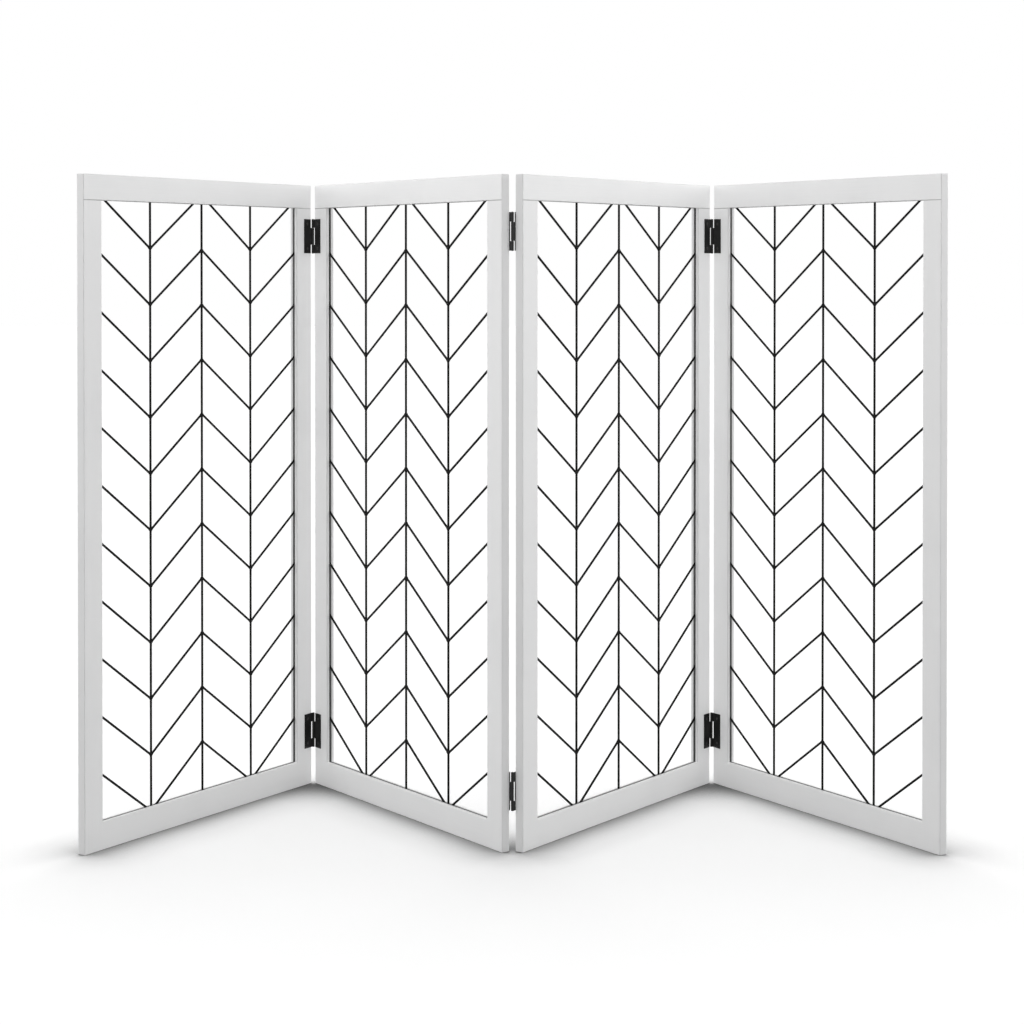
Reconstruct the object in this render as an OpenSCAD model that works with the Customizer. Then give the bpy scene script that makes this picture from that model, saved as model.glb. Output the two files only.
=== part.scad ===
// Folding pet gate: four framed panels with a welded chevron wire grille, joined by three pairs of
// hinges and standing in a zigzag. Millimetres, Z up, the fronts of the panels face -Y.

/* [Panel frame] */
// Width of one panel
panel_w = 508; // [420:1:620]
// Height of one panel
panel_h = 914; // [760:1:1100]
// Thickness of the frame wood
frame_t = 12.5; // [12:0.1:18]
// Width of each stile
stile_w = 36; // [34:0.5:50]
// Height of the top rail
top_rail_h = 35; // [26:0.5:50]
// Height of the bottom rail
bottom_rail_h = 38.5; // [36:0.5:60]
// Radius of the eased edges of the wood
edge_r = 1.3; // [0.6:0.1:2.4]
// Width of the groove that holds the grille
groove_w = 3.6; // [3.4:0.1:4.2]
// Depth of the groove that holds the grille
groove_d = 6; // [5.5:0.1:7]

/* [Stance] */
// Angle between each outer panel and the line of the gate
outer_angle = 58.5; // [30:0.1:75]
// Angle between each inner panel and the line of the gate
inner_angle = 55.5; // [30:0.1:75]

/* [Corner dowels] */
// Diameter of the dowels in the frame corners
dowel_d = 6; // [4:0.5:7]
// Length of the dowels
dowel_l = 30; // [20:1:36]
// Distance between the two dowels of a corner
dowel_step = 15; // [12:0.5:16]
// Distance of the first dowel from the outside of the corner
dowel_edge = 10.5; // [8:0.5:11]
// Gap round a dowel, for glue
glue_gap = 0.1; // [0.05:0.01:0.2]
// Gap left at each end of a dowel
dowel_end_gap = 0.6; // [0.3:0.1:0.9]

/* [Wire grille] */
// Diameter of the uprights and of the border wire
upright_d = 3.2; // [2.4:0.1:3.4]
// Diameter of the chevron wires
chevron_d = 3.2; // [1.6:0.1:3.2]
// Distance from the middle upright to each of the others
upright_step = 112; // [80:1:140]
// Rise of a chevron wire from one upright to the next, which sets the slope of every leg
chevron_rise = 77.4; // [40:0.1:110]
// Distance from one chevron row to the next
row_step = 78.4; // [40:0.1:120]
// Distance from the top rail down to the low points of the first row
first_row_drop = 64; // [20:0.5:100]
// Distance of the border wire inside the edge of the wood
border_inset = 2; // [1:0.1:2.2]
// Gap between two wires where they are welded
weld_gap = 0.05; // [0.02:0.01:0.1]

/* [Hinges] */
// Height of a hinge
hinge_h = 52; // [44:1:64]
// Thickness of a hinge leaf
leaf_t = 1; // [0.8:0.1:1.3]
// Distance from the pin to the far edge of a leaf
leaf_reach = 20; // [18:0.5:26]
// Outside diameter of the knuckles
knuckle_d = 4; // [3.6:0.1:4.2]
// Height of each of the two end knuckles
end_knuckle_h = 13; // [10:0.5:16]
// Gap between two knuckles along the pin
knuckle_gap = 0.2; // [0.1:0.05:0.4]
// Diameter of the hinge pins
pin_d = 2; // [1.6:0.1:2.2]
// Gap between a pin and its bore
pin_gap = 0.05; // [0.03:0.01:0.08]
// Length of pin that shows beyond the knuckles at each end
pin_tip = 0.5; // [0.2:0.1:1]
// Distance from the pin to the face of the wood
pin_stand_off = 1.9; // [1.8:0.1:2.6]
// Distance from the pin of an outer fold to the end of each panel
fold_end_gap = 2; // [1.8:0.1:4]
// Distance from the pin of the centre fold to the end of each panel
centre_end_gap = 4.2; // [1.8:0.1:5]
// Gap between a leaf and the knuckle of the other leaf
notch_gap = 2; // [0.4:0.1:2.4]
// Distance from the top of the gate to the middle of the upper hinges
upper_hinge_drop = 77; // [75:1:200]
// Distance from the floor to the middle of the lower hinges
lower_hinge_h = 82; // [80:1:200]

/* [Hinge screws] */
// Diameter of the shank of a screw
screw_d = 2.4; // [2:0.1:2.8]
// Diameter of the head of a screw
screw_head_d = 4.6; // [4:0.1:5.2]
// Length of a screw, with its head
screw_l = 10; // [7:0.5:11]
// Distance between the two screws of a leaf
screw_step = 37; // [30:0.5:38]
// Distance from the pin to the screws
screw_reach = 12.4; // [10:0.1:14]
// Gap round a screw
screw_gap = 0.05; // [0.03:0.01:0.1]
// Width of the cross recess in a screw head
recess_w = 2.4; // [1.8:0.1:2.6]

/* [Hidden] */
$fn = 48;
cut = 1;
tip_bevel = 0.4;
recess_slot = 0.6;
recess_depth = 0.7;

PANEL_PIECES = ["top_rail", "bottom_rail", "left_stile", "right_stile", "uprights",
                "chevron_wires", "border_wire", "dowels", "hinge_screws"];
FOLDS = ["left", "centre", "right"];
LEVELS = ["upper", "lower"];
HINGE_PIECES = ["two_knuckle_leaf", "one_knuckle_leaf", "pin"];

// Edges of the opening in a frame, from the middle of the panel and from the floor
opening_x = panel_w / 2 - stile_w;
opening_top = panel_h - top_rail_h;

// Axes of the border wire
border_x = opening_x + border_inset + upright_d / 2;
border_low = bottom_rail_h - border_inset - upright_d / 2;
border_high = opening_top + border_inset + upright_d / 2;

// Middle of the wood, where the groove, the grille and the dowels lie
mid_y = frame_t / 2;

// Rise of the end legs, which keep the slope of the others as far as the border wire
end_rise = chevron_rise * (border_x - upright_step) / upright_step;

// Low points of the chevron rows, down to the last that shows above the bottom rail
first_row_z = opening_top - first_row_drop;
row_reach = max(chevron_rise, end_rise);
last_row = floor((first_row_z + row_reach - chevron_d - border_low) / row_step);
rows = [for (n = [0:last_row]) first_row_z - n * row_step];

function turned(angle, p) = [p.x * cos(angle) - p.y * sin(angle), p.x * sin(angle) + p.y * cos(angle)];

// Places of the two left panels, with the pin of the centre fold at the origin
fold_pin_x = panel_w / 2 + fold_end_gap;
centre_pin_x = panel_w / 2 + centre_end_gap;
inner_place = -turned(-inner_angle, [centre_pin_x, frame_t + pin_stand_off]);
fold_pin = inner_place + turned(-inner_angle, [-fold_pin_x, -pin_stand_off]);
outer_place = fold_pin - turned(outer_angle, [fold_pin_x, -pin_stand_off]);

// Front and back of the whole gate there, and the shift that puts the origin midway
round_x = panel_w / 2 - edge_r;
gate_front = (outer_place + turned(outer_angle, [-round_x, edge_r])).y - edge_r;
outer_back = (outer_place + turned(outer_angle, [round_x, frame_t - edge_r])).y + edge_r;
inner_back = (inner_place + turned(-inner_angle, [-round_x, frame_t - edge_r])).y + edge_r;
shift_y = -(gate_front + max(outer_back, inner_back)) / 2;

// Hinges of a panel: end of the panel, face of the wood (-1 front, 1 back) and height.
// Those of the outer folds are on the front and those of the centre fold on the back.
hinge_heights = [panel_h - upper_hinge_drop, lower_hinge_h];
outer_hinges = [for (z = hinge_heights) [1, -1, z]];
inner_hinges = [for (z = hinge_heights, end = [-1, 1]) [end, end, z]];

function is_outer(p) = p == 1 || p == 4;
function hinges_of(p) = is_outer(p) ? outer_hinges : inner_hinges;
function left_end(p) = p < 3 ? -1 : 1;

// Panel that carries the leaf with two knuckles and the pin, and the panel across the fold
function pin_panel(fold, level) =
    fold == "left" ? (level == "upper" ? 2 : 1)
    : fold == "centre" ? (level == "upper" ? 2 : 3)
    : (level == "upper" ? 3 : 4);
function other_panel(fold, level) =
    (fold == "left" ? 3 : fold == "centre" ? 5 : 7) - pin_panel(fold, level);
function hinge_of(p, fold, level) =
    let (z = hinge_heights[level == "upper" ? 0 : 1])
    is_outer(p) ? [1, -1, z] : fold == "centre" ? [1, 1, z] : [-1, -1, z];

// The two right panels mirror the two left ones
module on_panel(p) {
    place = is_outer(p) ? outer_place : inner_place;
    mirror([p > 2 ? 1 : 0, 0, 0])
        translate([place.x, place.y + shift_y, 0])
            rotate(is_outer(p) ? outer_angle : -inner_angle)
                children();
}

// At a hinge the pin is the Z axis, the leaf runs along +X and the wood begins pin_stand_off along +Y
module at_hinge(hinge) {
    on_front = hinge[1] < 0;
    pin_x = on_front ? fold_pin_x : centre_pin_x;
    translate([hinge[0] * pin_x, on_front ? -pin_stand_off : frame_t + pin_stand_off, hinge[2]])
        mirror([hinge[0] > 0 ? 1 : 0, 0, 0])
            mirror([0, hinge[1] > 0 ? 1 : 0, 0])
                children();
}

module rounded(w, h) {
    for (x = [-1, 1], y = [-1, 1])
        translate([x * (w / 2 - edge_r), y * (h / 2 - edge_r)])
            circle(r = edge_r);
    square([w - 2 * edge_r, h], center = true);
    square([w, h - 2 * edge_r], center = true);
}

// A block of wood with its edges eased, except those at one side of its ends: the lower (-1) or the
// upper (1), where the end meets another piece flush
module eased_block(from, size, flush) {
    translate(from + size / 2)
        intersection() {
            linear_extrude(size.z, center = true)
                rounded(size.x, size.y);
            rotate([90, 0, 90])
                linear_extrude(size.x, center = true)
                    rounded(size.y, size.z);
            rotate([90, 0, 0])
                linear_extrude(size.y, center = true) {
                    rounded(size.x, size.z);
                    translate([0, flush * size.z / 4])
                        square([size.x, size.z / 2], center = true);
                }
        }
}

module groove(from, size) {
    translate([from.x, mid_y - groove_w / 2, from.y])
        cube([size.x, groove_w, size.y]);
}

// The dowels of the two corners at one end of the panel, widened by the glue gap for their bores
module corner_dowels(end, gap, end_gap) {
    for (n = [0, 1]) {
        translate([end * (panel_w / 2 - dowel_edge - n * dowel_step), mid_y, opening_top])
            cylinder(h = dowel_l + 2 * end_gap, d = dowel_d + 2 * gap, center = true);
        translate([end * opening_x, mid_y, dowel_edge + n * dowel_step])
            rotate([0, 90, 0])
                cylinder(h = dowel_l + 2 * end_gap, d = dowel_d + 2 * gap, center = true);
    }
}

module dowel_bores() {
    for (end = [-1, 1])
        corner_dowels(end, glue_gap, dowel_end_gap);
}

// Outline of a countersunk screw, widened by a gap for its hole
module screw_shape(gap) {
    rotate([-90, 0, 0])
        rotate_extrude()
            polygon([
                [0, -gap],
                [screw_head_d / 2 + gap, -gap],
                [screw_head_d / 2 + gap, 0],
                [screw_d / 2 + gap, leaf_t],
                [screw_d / 2 + gap, screw_l - screw_d / 2],
                [0, screw_l + gap]
            ]);
}

module at_screws() {
    for (z = [-1, 1])
        translate([screw_reach, pin_stand_off - leaf_t, z * screw_step / 2])
            children();
}

module screw_holes(hinges) {
    for (hinge = hinges)
        at_hinge(hinge)
            at_screws()
                screw_shape(screw_gap);
}

// Top rail, which runs over the ends of both stiles
module top_rail() {
    color([0.93, 0.93, 0.93])
        difference() {
            eased_block([-panel_w / 2, 0, opening_top], [panel_w, frame_t, top_rail_h], -1);
            groove([-opening_x - groove_d, opening_top - cut],
                   [2 * (opening_x + groove_d), groove_d + cut]);
            dowel_bores();
        }
}

// Bottom rail, which fits between the stiles
module bottom_rail() {
    color([0.93, 0.93, 0.93])
        difference() {
            translate([0, mid_y, bottom_rail_h / 2])
                rotate([90, 0, 90])
                    linear_extrude(2 * opening_x, center = true)
                        rounded(frame_t, bottom_rail_h);
            groove([-panel_w / 2, bottom_rail_h - groove_d], [panel_w, groove_d + cut]);
            dowel_bores();
        }
}

// Stile at the left end of the panel: its inner edges are sharp where the bottom rail butts against it
module left_end_stile(hinges) {
    difference() {
        intersection() {
            eased_block([-panel_w / 2, 0, 0], [stile_w + 2 * edge_r, frame_t, opening_top + 2 * edge_r], 1);
            union() {
                translate([-panel_w / 2 - cut, -cut, -cut])
                    cube([stile_w + cut, frame_t + 2 * cut, bottom_rail_h + cut]);
                translate([-opening_x - stile_w / 2 - cut, mid_y, bottom_rail_h])
                    linear_extrude(opening_top - bottom_rail_h)
                        rounded(stile_w + 2 * cut, frame_t);
            }
        }
        groove([-opening_x - groove_d, bottom_rail_h - groove_d], [groove_d + cut, panel_h]);
        corner_dowels(-1, glue_gap, dowel_end_gap);
        screw_holes(hinges);
    }
}

// A stile at either end, with the holes for the hinge screws at that end
module stile(end, hinges) {
    near = [for (hinge = hinges) if (hinge[0] == end) [-1, hinge[1], hinge[2]]];
    color([0.93, 0.93, 0.93])
        mirror([end > 0 ? 1 : 0, 0, 0])
            left_end_stile(near);
}

module upright_wire(x, gap) {
    translate([x, mid_y, border_low - upright_d / 2])
        cylinder(h = border_high - border_low + upright_d, d = upright_d + 2 * gap);
}

module cross_wire(z, gap) {
    translate([0, mid_y, z])
        rotate([0, 90, 0])
            cylinder(h = 2 * border_x, d = upright_d + 2 * gap, center = true);
}

// Three uprights, welded to the border wire at both ends
module uprights() {
    color([0.06, 0.06, 0.06])
        for (x = [-upright_step, 0, upright_step])
            difference() {
                upright_wire(x, 0);
                cross_wire(border_low, weld_gap);
                cross_wire(border_high, weld_gap);
                translate([x, mid_y, border_low - upright_d])
                    cube(2 * upright_d, center = true);
                translate([x, mid_y, border_high + upright_d])
                    cube(2 * upright_d, center = true);
            }
}

// The point where the line from p to q crosses a height, and p drawn in to the border wire
function at_height(p, q, z) = p + (q - p) * (z - p[1]) / (q[1] - p[1]);
function drawn_in(p, q) =
    p[1] > border_high ? at_height(p, q, border_high)
    : p[1] < border_low ? at_height(p, q, border_low)
    : p;

// One leg of a chevron row from p to q, cut to seat on the wires that it ends on
module chevron_leg(p, q) {
    from = drawn_in(p, q);
    run = drawn_in(q, p) - from;
    low = min(p[1], q[1]);
    high = max(p[1], q[1]);
    difference() {
        translate([from[0], mid_y, from[1]])
            rotate([0, atan2(run[0], run[1]), 0])
                cylinder(h = norm(run), d = chevron_d);
        upright_wire(p[0], weld_gap);
        upright_wire(q[0], weld_gap);
        if (low - chevron_d < border_low)
            cross_wire(border_low, weld_gap);
        if (high + chevron_d > border_high)
            cross_wire(border_high, weld_gap);
    }
}

// The chevron rows, from the left border wire over the three uprights to the right border wire
module chevron_wires() {
    color([0.06, 0.06, 0.06])
        for (z = rows) {
            bends = [
                [-border_x, z + end_rise],
                [-upright_step, z],
                [0, z + chevron_rise],
                [upright_step, z],
                [border_x, z + end_rise]
            ];
            for (n = [0:3])
                if (max(bends[n][1], bends[n + 1][1]) > border_low + 2 * chevron_d)
                    chevron_leg(bends[n], bends[n + 1]);
        }
}

// The border wire in the groove: two full-height sides, with the top and bottom welded between them
module border_wire() {
    color([0.06, 0.06, 0.06]) {
        for (x = [-border_x, border_x])
            upright_wire(x, 0);
        for (z = [border_low, border_high])
            difference() {
                cross_wire(z, 0);
                upright_wire(-border_x, weld_gap);
                upright_wire(border_x, weld_gap);
            }
    }
}

// Two dowels in each corner of the frame
module dowels() {
    color("burlywood")
        for (end = [-1, 1])
            corner_dowels(end, 0, 0);
}

// Countersunk cross-head screws, two in each hinge leaf
module hinge_screws(hinges) {
    color([0.12, 0.12, 0.12])
        for (hinge = hinges)
            at_hinge(hinge)
                at_screws()
                    difference() {
                        screw_shape(0);
                        for (size = [[recess_w, recess_slot], [recess_slot, recess_w]])
                            cube([size.x, 2 * recess_depth, size.y], center = true);
                    }
}

// A hinge leaf with its knuckles: two at the ends or one in the middle
module hinge_leaf(two_knuckles) {
    middle = hinge_h / 2 - end_knuckle_h;
    spans = two_knuckles
        ? [[-hinge_h / 2, -middle], [middle, hinge_h / 2]]
        : [[knuckle_gap - middle, middle - knuckle_gap]];
    notch_x = knuckle_d / 2 + notch_gap;
    color([0.1, 0.1, 0.1])
        difference() {
            union() {
                translate([notch_x, pin_stand_off - leaf_t, -hinge_h / 2])
                    cube([leaf_reach - notch_x, leaf_t, hinge_h]);
                for (span = spans)
                    translate([0, 0, span[0]]) {
                        cylinder(h = span[1] - span[0], d = knuckle_d);
                        translate([0, pin_stand_off - leaf_t, 0])
                            cube([notch_x + leaf_t, leaf_t, span[1] - span[0]]);
                    }
            }
            cylinder(h = hinge_h + 2 * cut, d = pin_d + 2 * pin_gap, center = true);
            at_screws()
                screw_shape(screw_gap);
        }
}

// A hinge pin with bevelled tips
module hinge_pin() {
    half = hinge_h / 2 + pin_tip;
    color([0.1, 0.1, 0.1])
        rotate_extrude()
            polygon([
                [0, -half],
                [pin_d / 2 - tip_bevel, -half],
                [pin_d / 2, tip_bevel - half],
                [pin_d / 2, half - tip_bevel],
                [pin_d / 2 - tip_bevel, half],
                [0, half]
            ]);
}

for (p = [1:4]) {
    on_panel(p) top_rail();
    on_panel(p) bottom_rail();
    on_panel(p) stile(left_end(p), hinges_of(p));
    on_panel(p) stile(-left_end(p), hinges_of(p));
    on_panel(p) uprights();
    on_panel(p) chevron_wires();
    on_panel(p) border_wire();
    on_panel(p) dowels();
    on_panel(p) hinge_screws(hinges_of(p));
}

for (fold = FOLDS, level = LEVELS) {
    pinned = pin_panel(fold, level);
    other = other_panel(fold, level);
    hinge = str(fold, "_", level, "_hinge_");
    on_panel(pinned) at_hinge(hinge_of(pinned, fold, level)) hinge_leaf(true);
    on_panel(other) at_hinge(hinge_of(other, fold, level)) hinge_leaf(false);
    on_panel(pinned) at_hinge(hinge_of(pinned, fold, level)) hinge_pin();
}
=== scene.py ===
import math

import bmesh
import bpy
from mathutils import Matrix, Vector, noise as pattern


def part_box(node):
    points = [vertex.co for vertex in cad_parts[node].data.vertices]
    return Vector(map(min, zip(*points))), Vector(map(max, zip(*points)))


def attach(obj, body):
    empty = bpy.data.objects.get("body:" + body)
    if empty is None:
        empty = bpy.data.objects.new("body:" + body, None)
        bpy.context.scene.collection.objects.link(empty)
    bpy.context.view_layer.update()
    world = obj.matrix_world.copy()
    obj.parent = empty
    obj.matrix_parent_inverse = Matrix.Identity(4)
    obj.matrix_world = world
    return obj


# Everything is in metres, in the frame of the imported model: the gate's line runs along X, the fronts of
# the panels face -Y and the floor is Z = 0.
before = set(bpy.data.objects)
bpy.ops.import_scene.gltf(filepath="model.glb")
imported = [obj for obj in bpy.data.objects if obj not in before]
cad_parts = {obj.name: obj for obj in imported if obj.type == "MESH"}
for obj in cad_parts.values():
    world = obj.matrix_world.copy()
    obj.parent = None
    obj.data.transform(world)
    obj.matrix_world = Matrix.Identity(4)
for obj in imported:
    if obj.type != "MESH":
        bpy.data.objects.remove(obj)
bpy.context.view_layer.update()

# Angle of each panel to the line of the gate, in degrees
PANEL_ANGLES = {"panel_1": 58.5, "panel_2": -55.5, "panel_3": 55.5, "panel_4": -58.5}

# The camera stands in front of the centre fold, a little below the top of the gate. Its pitch is in
# degrees, its lens and sensor are in millimetres and its shift is a share of the picture's width.
CAMERA_PLACE = Vector((0.0, -3.2506, 0.7812))
CAMERA_PITCH = 0.684
CAMERA_LENS = 79.74
CAMERA_SENSOR = 36.0
CAMERA_SHIFT = (-0.0004, -0.2071)

# Noise values lie mostly between these two
NOISE_LOW = 0.3
NOISE_HIGH = 0.7

# The white paint at its darkest and lightest, the share of the wood's grain in its tone, and how many
# times as long as wide that grain is
PAINT_DARK = (0.755, 0.757, 0.760)
PAINT_LIGHT = (0.800, 0.801, 0.802)
GRAIN_SHARE = 0.35
GRAIN_LENGTH = 25.0

# Height of the joint between the top rails and the stiles. Painted shade darkens the paint in the crease
# along the joint: it is full this far above and below the joint and fades over as much again.
JOINT_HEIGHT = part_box("panel_1_top_rail")[0].z
CREASE = 0.0004
CREASE_SHADE_COLOUR = (0.52, 0.52, 0.52)

# Painted shade darkens the paint in the groove of a panel; it reaches a little beyond half its width of
# 3.6 mm and beyond its depth of 6 mm
GROOVE_HALF = 0.0019
GROOVE_DEPTH = 0.0062
GROOVE_SHADE_COLOUR = (0.20, 0.20, 0.20)

# Corners of the wires that lie as close as this are one
SAME_PLACE = 1e-6

# Outline of a weld bead at the end of a leg: distance along the leg from its end, towards its middle,
# and radius as a share of the wire's
BEAD_OUTLINE = ((0.0028, 1.0), (0.0019, 1.05), (0.0011, 1.14), (0.0003, 1.25), (-0.0006, 1.3),
                (-0.0014, 1.2), (-0.0021, 0.9))
BEAD_SIDES = 12

# How uneven a bead would be where it is twice as thick as its wire, and how fine its lumps are
BEAD_LUMPS = 0.0004
LUMPS_TO_A_METRE = 900.0

# An end of a leg is welded to an upright where it lies as close as this to the box round all three
WELD_REACH = 0.005

# Side of the floor, the share of light that it throws back on the gate, and what it glows with to show
# white
FLOOR_SIZE = 60.0
FLOOR_BOUNCE = 0.35
FLOOR_GLOW = 0.12

# How far the contact shadow reaches round what stands on the floor, and how fast it deepens
CONTACT_REACH = 0.10
CONTACT_DEPTH = 1.4
CONTACT_SAMPLES = 16

# Brightness of the studio's white walls to the left and right, fading to nothing in front and behind
WALLS = 1.47
WHITE = (1.0, 1.0, 1.0)

# The two fill boxes at each side: name, place of the one on the right, and power in watts. They are
# squares of this size, and all face one point near the middle of the gate.
FILL_BOXES = (("front", (3.15, -2.1, 2.0), 51.0), ("back", (3.5, 1.4, 2.0), 46.0))
FILL_SIZE = 2.0
FILL_AIM = Vector((0.0, 0.0, 0.45))

# The two wide lights behind the gate: how bright each makes a white floor, and in degrees how far each
# is turned to its side, how high it stands and how wide it is
SHADE_LIGHT = 0.28
SHADE_TURN = 20.0
SHADE_HEIGHT = 60.0
SHADE_SPREAD = 60.0


def feed(tree, socket, value):
    """Gives an input a link to an output, or else a value. A colour is its red, green and blue."""
    if isinstance(value, bpy.types.NodeSocket):
        tree.links.new(value, socket)
    elif socket.type == "RGBA":
        socket.default_value = (*value, 1.0)
    else:
        socket.default_value = value


def add_node(tree, kind, **values):
    """A shader node with its properties and inputs set. Names that aren't inputs are properties."""
    made = tree.nodes.new(kind)
    for name, value in values.items():
        label = name.replace("_", " ").title()
        if label in made.inputs:
            feed(tree, made.inputs[label], value)
        else:
            setattr(made, name, value)
    return made


def new_material(name):
    material = bpy.data.materials.new(name)
    material.use_nodes = True
    return material, material.node_tree, material.node_tree.nodes["Principled BSDF"]


def surface(tree, shader, colour, roughness, specular=0.5, metallic=0.0, normal=None):
    """Feeds the inputs of a material's own shader."""
    feed(tree, shader.inputs["Base Color"], colour)
    feed(tree, shader.inputs["Roughness"], roughness)
    feed(tree, shader.inputs["Specular IOR Level"], specular)
    feed(tree, shader.inputs["Metallic"], metallic)
    if normal is not None:
        feed(tree, shader.inputs["Normal"], normal)


def maths(tree, operation, *values, clamped=False):
    """The result of a maths node, each value an output or a number."""
    made = add_node(tree, "ShaderNodeMath", operation=operation, use_clamp=clamped)
    for socket, value in zip(made.inputs, values):
        feed(tree, socket, value)
    return made.outputs["Value"]


def noise(tree, vector, scale, detail, roughness=0.5):
    made = add_node(tree, "ShaderNodeTexNoise", vector=vector, scale=scale, detail=detail,
                    roughness=roughness)
    return made.outputs["Fac"]


def in_range(tree, value, low, high):
    """A noise value spread from low to high."""
    made = add_node(tree, "ShaderNodeMapRange", value=value, from_min=NOISE_LOW, from_max=NOISE_HIGH,
                    to_min=low, to_max=high)
    return made.outputs["Result"]


def mixed(tree, factor, first, second):
    """A mix of two colours: the first where the factor is 0, the second where it is 1."""
    made = add_node(tree, "ShaderNodeMix", data_type="RGBA", factor=factor, a=first, b=second)
    return made.outputs["Result"]


def bumped(tree, height, depth, over=None):
    """The normal of a bump of a real depth in metres, over the normal of another where one is given."""
    made = add_node(tree, "ShaderNodeBump", strength=1.0, distance=depth, height=height)
    if over is not None:
        feed(tree, made.inputs["Normal"], over)
    return made.outputs["Normal"]


def coordinates(tree, output="Object", angle=0.0, scale=(1.0, 1.0, 1.0)):
    """The object's own coordinates or its normal, turned to lie along a panel and then stretched."""
    own = add_node(tree, "ShaderNodeTexCoord").outputs[output]
    turned = add_node(tree, "ShaderNodeMapping", vector=own, rotation=(0.0, 0.0, -math.radians(angle)))
    stretched = add_node(tree, "ShaderNodeMapping", vector=turned.outputs["Vector"], scale=scale)
    return stretched.outputs["Vector"]


def split(tree, vector):
    """The outputs X, Y and Z of a vector."""
    return add_node(tree, "ShaderNodeSeparateXYZ", vector=vector).outputs


def crease(tree, angle):
    """1 where painted shade darkens the fine crease in which a top rail meets the stiles, on a panel's
    faces but not on its ends.
    """
    place = split(tree, coordinates(tree, angle=angle))
    facing = split(tree, coordinates(tree, "Normal", angle))
    off = maths(tree, "ABSOLUTE", maths(tree, "SUBTRACT", place["Z"], JOINT_HEIGHT))
    near = maths(tree, "SUBTRACT", 2.0, maths(tree, "DIVIDE", off, CREASE), clamped=True)
    not_end = maths(tree, "LESS_THAN", maths(tree, "ABSOLUTE", facing["X"]), 0.5)
    return maths(tree, "MULTIPLY", near, not_end)


def own_axes(panel):
    """The turn that brings a panel's length along X and its thickness along Y."""
    return Matrix.Rotation(math.radians(-PANEL_ANGLES[panel]), 3, "Z")


def opening(panel):
    """Middle and half size of a panel's opening along, across and up the panel."""
    turn = own_axes(panel)
    places = [turn @ vert.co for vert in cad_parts[f"{panel}_bottom_rail"].data.vertices]
    low, high = [Vector(pick(place[n] for place in places) for n in range(3)) for pick in (min, max)]
    high.z, low.z = JOINT_HEIGHT, high.z
    return (low + high) / 2, (high - low) / 2


def groove(tree, panel):
    """1 on the walls and the floor of the groove that holds the border wire, where the paint is darkened
    as painted shade.
    """
    middle, half = opening(panel)
    place = split(tree, coordinates(tree, angle=PANEL_ANGLES[panel]))
    reach = (half.x + GROOVE_DEPTH, GROOVE_HALF, half.z + GROOVE_DEPTH)
    inside = 1.0
    for axis, centre, limit in zip("XYZ", middle, reach):
        off = maths(tree, "ABSOLUTE", maths(tree, "SUBTRACT", place[axis], centre))
        inside = maths(tree, "MULTIPLY", maths(tree, "LESS_THAN", off, limit), inside)
    return inside


def painted_wood(name, panel, upright):
    """White satin paint over wood: faint grain along the piece, roller texture and a soft mottling, with
    painted shade in the crease under the top rail and in the groove.
    """
    angle = PANEL_ANGLES[panel]
    material, tree, shader = new_material(name)
    along = (1.0, 1.0, 1.0 / GRAIN_LENGTH) if upright else (1.0 / GRAIN_LENGTH, 1.0, 1.0)
    plain = coordinates(tree)
    stretched = coordinates(tree, angle=angle, scale=along)
    grain = noise(tree, stretched, scale=420.0, detail=5.0, roughness=0.6)
    mottle = noise(tree, plain, scale=9.0, detail=3.0)
    roller = noise(tree, plain, scale=900.0, detail=2.0)
    tone = in_range(tree, maths(tree, "MULTIPLY_ADD", grain, GRAIN_SHARE, mottle), low=0.0, high=1.0)
    paint = mixed(tree, tone, PAINT_DARK, PAINT_LIGHT)
    # Painted shade in the crease under the top rail
    paint = mixed(tree, crease(tree, angle), paint, CREASE_SHADE_COLOUR)
    # Painted shade in the groove round the opening
    paint = mixed(tree, groove(tree, panel), paint, GROOVE_SHADE_COLOUR)
    surface(tree, shader, paint, roughness=in_range(tree, roller, low=0.42, high=0.56),
            normal=bumped(tree, roller, depth=0.00004, over=bumped(tree, grain, depth=0.00012)))
    return material


def black_wire():
    """Semi-gloss black powder coat."""
    material, tree, shader = new_material("grille_wire")
    plain = coordinates(tree)
    speckle = noise(tree, plain, scale=1600.0, detail=2.0)
    patches = noise(tree, plain, scale=60.0, detail=2.0)
    colour = mixed(tree, patches, (0.001, 0.001, 0.001), (0.004, 0.004, 0.004))
    surface(tree, shader, colour, roughness=in_range(tree, speckle, low=0.42, high=0.58),
            specular=0.08, normal=bumped(tree, speckle, depth=0.00005))
    return material


def hinge_metal():
    """Satin black hinge steel, faintly brushed along the pins."""
    material, tree, shader = new_material("hinge_metal")
    brushed = noise(tree, coordinates(tree, scale=(1.0, 1.0, 0.08)), scale=1500.0, detail=4.0)
    patches = noise(tree, coordinates(tree), scale=120.0, detail=3.0)
    colour = mixed(tree, patches, (0.004, 0.004, 0.004), (0.013, 0.013, 0.013))
    surface(tree, shader, colour, roughness=in_range(tree, brushed, low=0.32, high=0.5),
            specular=0.25, normal=bumped(tree, brushed, depth=0.00004))
    return material


def screw_metal():
    """Blackened steel, worn a little on the heads."""
    material, tree, shader = new_material("screw_metal")
    wear = noise(tree, coordinates(tree), scale=700.0, detail=4.0, roughness=0.6)
    colour = mixed(tree, wear, (0.02, 0.02, 0.021), (0.09, 0.088, 0.085))
    surface(tree, shader, colour, roughness=in_range(tree, wear, low=0.3, high=0.45),
            metallic=0.5, normal=bumped(tree, wear, depth=0.00003))
    return material


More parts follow.
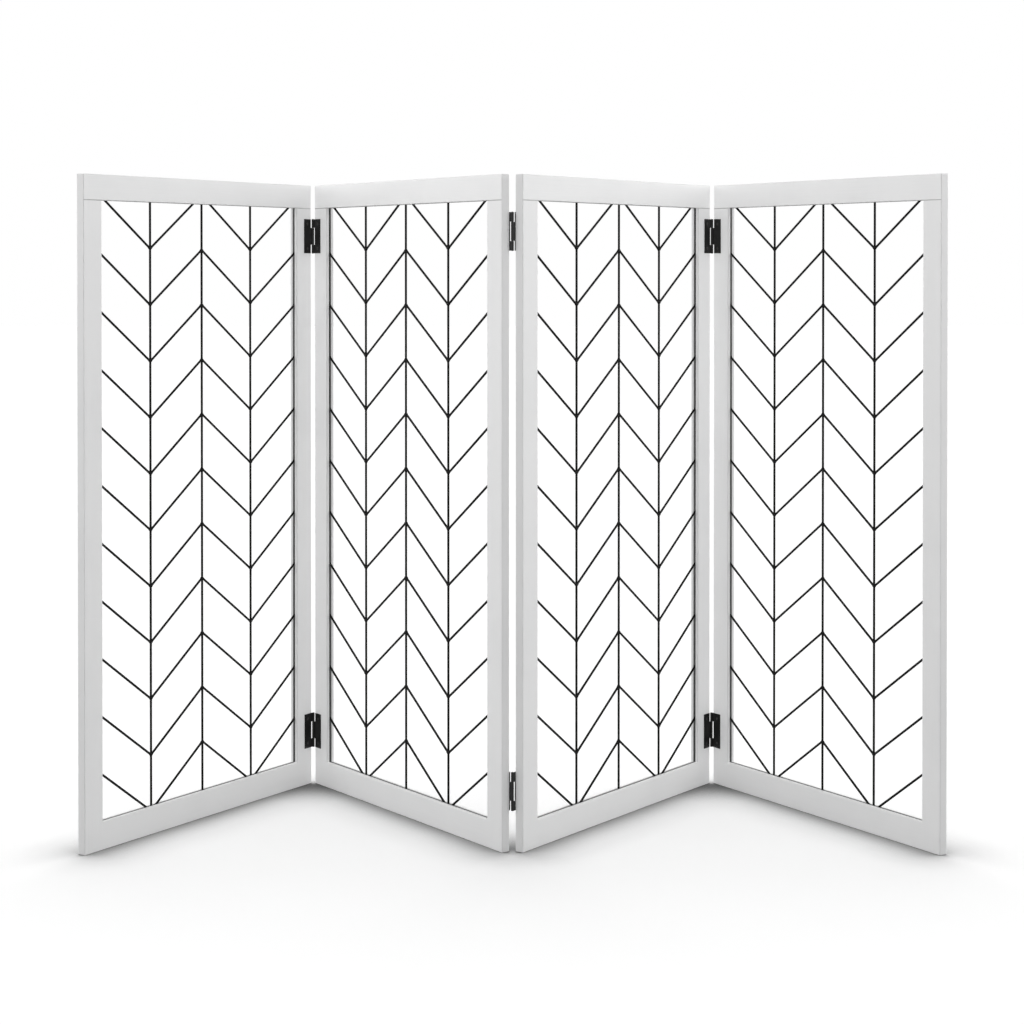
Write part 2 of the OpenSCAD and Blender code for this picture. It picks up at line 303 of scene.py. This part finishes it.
def dowel_wood():
    """Plain beech."""
    material, tree, shader = new_material("dowel_wood")
    along = coordinates(tree, scale=(1.0, 1.0, 0.1))
    fibres = noise(tree, along, scale=900.0, detail=5.0, roughness=0.6)
    colour = mixed(tree, fibres, (0.40, 0.24, 0.11), (0.56, 0.37, 0.20))
    surface(tree, shader, colour, roughness=0.6, normal=bumped(tree, fibres, depth=0.00008))
    return material


def give(material, *names):
    """Makes a material the only one of some nodes."""
    for name in names:
        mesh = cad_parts[name].data
        mesh.materials.clear()
        mesh.materials.append(material)


def dress_panels():
    """Gives every node its material, and each panel its weld beads."""
    wire, screw, dowel = black_wire(), screw_metal(), dowel_wood()
    for panel in PANEL_ANGLES:
        rails = painted_wood(f"{panel}_rail_paint", panel, False)
        stiles = painted_wood(f"{panel}_stile_paint", panel, True)
        give(rails, f"{panel}_top_rail", f"{panel}_bottom_rail")
        give(stiles, f"{panel}_left_stile", f"{panel}_right_stile")
        give(wire, f"{panel}_uprights", f"{panel}_chevron_wires", f"{panel}_border_wire")
        give(screw, f"{panel}_hinge_screws")
        give(dowel, f"{panel}_dowels")
        make_welds(panel, wire)
    give(hinge_metal(), *[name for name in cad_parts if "_hinge_" in name and "screws" not in name])


def connected_parts(bm):
    """The corners of each part of a mesh that hangs together, as a list of places."""
    bm.verts.index_update()
    seen = set()
    for start in bm.verts:
        if start.index in seen:
            continue
        seen.add(start.index)
        part, to_do = [], [start]
        while to_do:
            vert = to_do.pop()
            part.append(vert.co.copy())
            for link in vert.link_edges:
                other = link.other_vert(vert)
                if other.index not in seen:
                    seen.add(other.index)
                    to_do.append(other)
        yield part


def legs(panel):
    """The two ends, the axis and the radius of each leg of a panel's chevron rows."""
    bm = bmesh.new()
    bm.from_mesh(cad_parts[f"{panel}_chevron_wires"].data)
    bmesh.ops.remove_doubles(bm, verts=bm.verts, dist=SAME_PLACE)
    turn = own_axes(panel)
    for leg in connected_parts(bm):
        distances = [(turn @ place).x for place in leg]
        middle = (min(distances) + max(distances)) / 2
        near = [place for place, distance in zip(leg, distances) if distance < middle]
        far = [place for place, distance in zip(leg, distances) if distance >= middle]
        ends = [sum(half, Vector()) / len(half) for half in (near, far)]
        axis = (ends[1] - ends[0]).normalized()
        offsets = [place - ends[0] for place in near]
        radius = max((offset - axis * offset.dot(axis)).length for offset in offsets)
        yield ends, axis, radius
    bm.free()


def add_bead(bm, end, axis, radius):
    """A weld bead round the end of a leg, a little uneven."""
    across = axis.cross(Vector((0.0, 0.0, 1.0))).normalized()
    upward = across.cross(axis)
    rings = []
    for along, share in BEAD_OUTLINE:
        ring = []
        for n in range(BEAD_SIDES):
            turn = 2 * math.pi * n / BEAD_SIDES
            out = across * math.cos(turn) + upward * math.sin(turn)
            place = end + axis * along + out * radius * share
            uneven = BEAD_LUMPS * (share - 1.0) * pattern.noise(place * LUMPS_TO_A_METRE)
            ring.append(bm.verts.new(place + out * uneven))
        rings.append(ring)
    for low, high in zip(rings, rings[1:]):
        for n in range(BEAD_SIDES):
            bm.faces.new((low[n - 1], low[n], high[n], high[n - 1]))
    bm.faces.new(rings[0])
    bm.faces.new(reversed(rings[-1]))


def make_welds(panel, material):
    """The weld beads where the legs of a panel meet its three uprights."""
    low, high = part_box(f"{panel}_uprights")
    bm = bmesh.new()
    for ends, axis, radius in legs(panel):
        for end, inward in zip(ends, (axis, -axis)):
            if all(low[n] - WELD_REACH < end[n] < high[n] + WELD_REACH for n in (0, 1)):
                add_bead(bm, end, inward, radius)
    bmesh.ops.recalc_face_normals(bm, faces=bm.faces)
    for face in bm.faces:
        face.smooth = True
    mesh = bpy.data.meshes.new(f"{panel}_welds")
    bm.to_mesh(mesh)
    bm.free()
    mesh.materials.append(material)
    welds = bpy.data.objects.new(f"{panel}_welds", mesh)
    bpy.context.scene.collection.objects.link(welds)
    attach(welds, panel)


def shown_as(tree, own, seen):
    """A shader that the camera sees as another one, whether straight, mirrored or through glass."""
    ray = add_node(tree, "ShaderNodeLightPath").outputs
    indirect = maths(tree, "MAXIMUM", ray["Is Glossy Ray"], ray["Is Transmission Ray"])
    by_camera = maths(tree, "MAXIMUM", ray["Is Camera Ray"], indirect)
    mix = add_node(tree, "ShaderNodeMixShader", fac=by_camera)
    tree.links.new(own, mix.inputs[1])
    tree.links.new(seen, mix.inputs[2])
    return mix.outputs["Shader"]


def make_floor():
    """A pale floor that shows white where it is fully lit and keeps the gate's shadow, with a painted
    contact shadow round what stands on it.
    """
    bpy.ops.mesh.primitive_plane_add(size=FLOOR_SIZE, location=(0.0, 0.0, 0.0))
    floor = bpy.context.object
    floor.name = "floor"
    material, tree, shader = new_material("floor")
    surface(tree, shader, (FLOOR_BOUNCE, FLOOR_BOUNCE, FLOOR_BOUNCE), roughness=0.9, specular=0.0)
    # Painted contact shadow: ambient occlusion round what stands on the floor darkens the colour and the
    # glow that the camera sees
    nearness = add_node(tree, "ShaderNodeAmbientOcclusion", samples=CONTACT_SAMPLES,
                        distance=CONTACT_REACH)
    painted_contact_shadow = maths(tree, "POWER", nearness.outputs["AO"], CONTACT_DEPTH)
    lit = add_node(tree, "ShaderNodeBsdfDiffuse", color=painted_contact_shadow)
    glow = add_node(tree, "ShaderNodeEmission", strength=maths(tree, "MULTIPLY", painted_contact_shadow, FLOOR_GLOW))
    bright = add_node(tree, "ShaderNodeAddShader")
    tree.links.new(lit.outputs["BSDF"], bright.inputs[0])
    tree.links.new(glow.outputs["Emission"], bright.inputs[1])
    shown = shown_as(tree, shader.outputs["BSDF"], bright.outputs["Shader"])
    tree.links.new(shown, tree.nodes["Material Output"].inputs["Surface"])
    floor.data.materials.append(material)
    return floor


def make_world():
    """Soft light from the walls at both sides, with a white background."""
    world = bpy.data.worlds.new("studio")
    bpy.context.scene.world = world
    world.use_nodes = True
    tree = world.node_tree
    sideways = split(tree, add_node(tree, "ShaderNodeTexCoord").outputs["Generated"])["X"]
    walls = tree.nodes["Background"]
    feed(tree, walls.inputs["Color"], WHITE)
    feed(tree, walls.inputs["Strength"],
         maths(tree, "MULTIPLY", maths(tree, "MULTIPLY", sideways, sideways), WALLS))
    background = add_node(tree, "ShaderNodeBackground", color=WHITE, strength=1.0)
    shown = shown_as(tree, walls.outputs["Background"], background.outputs["Background"])
    tree.links.new(shown, tree.nodes["World Output"].inputs["Surface"])


def add_lamp(name, kind, source):
    """A lamp that shines from the direction of its source."""
    lamp = bpy.data.objects.new(name, bpy.data.lights.new(name, kind))
    lamp.rotation_mode = "QUATERNION"
    lamp.rotation_quaternion = source.to_track_quat("Z", "Y")
    bpy.context.scene.collection.objects.link(lamp)
    return lamp


def link_floor(lamp, floor, state):
    """Makes a lamp light nothing but the floor (INCLUDE) or all but the floor (EXCLUDE)."""
    linked = bpy.data.collections.new(f"{lamp.name}_lights")
    linked.objects.link(floor)
    linked.collection_objects[0].light_linking.link_state = state
    lamp.light_linking.receiver_collection = linked


def add_fill_box(name, place, power, floor):
    """A soft box that casts no shadow and lights all but the floor."""
    box = add_lamp(name, "AREA", place - FILL_AIM)
    box.location = place
    box.data.size = FILL_SIZE
    box.data.energy = power
    box.data.use_shadow = False
    link_floor(box, floor, "EXCLUDE")


def add_shade_light(name, side, floor):
    """A wide soft light from behind the gate that lights the floor alone, so that the gate shades it."""
    height = math.radians(SHADE_HEIGHT)
    from_behind = Vector((0.0, math.cos(height), math.sin(height)))
    turned = Matrix.Rotation(math.radians(-side * SHADE_TURN), 3, "Z") @ from_behind
    light = add_lamp(name, "SUN", turned)
    light.data.energy = math.pi * SHADE_LIGHT / from_behind.z
    light.data.angle = math.radians(SHADE_SPREAD)
    link_floor(light, floor, "INCLUDE")


def make_lights(floor):
    """On the left and on the right, two fill boxes and a light that shades the floor."""
    for name, side in (("left", -1), ("right", 1)):
        for depth, (x, y, z), power in FILL_BOXES:
            add_fill_box(f"{name}_{depth}_box", Vector((side * x, y, z)), power, floor)
        add_shade_light(f"{name}_shade_light", side, floor)


def make_camera():
    data = bpy.data.cameras.new("camera")
    data.lens = CAMERA_LENS
    data.sensor_width = CAMERA_SENSOR
    data.shift_x, data.shift_y = CAMERA_SHIFT
    camera = bpy.data.objects.new("camera", data)
    camera.location = CAMERA_PLACE
    camera.rotation_euler = (math.radians(90.0 - CAMERA_PITCH), 0.0, 0.0)
    bpy.context.scene.collection.objects.link(camera)
    bpy.context.scene.camera = camera


make_camera()
dress_panels()
floor = make_floor()
make_world()
make_lights(floor)
bpy.context.scene.view_settings.view_transform = "Standard"
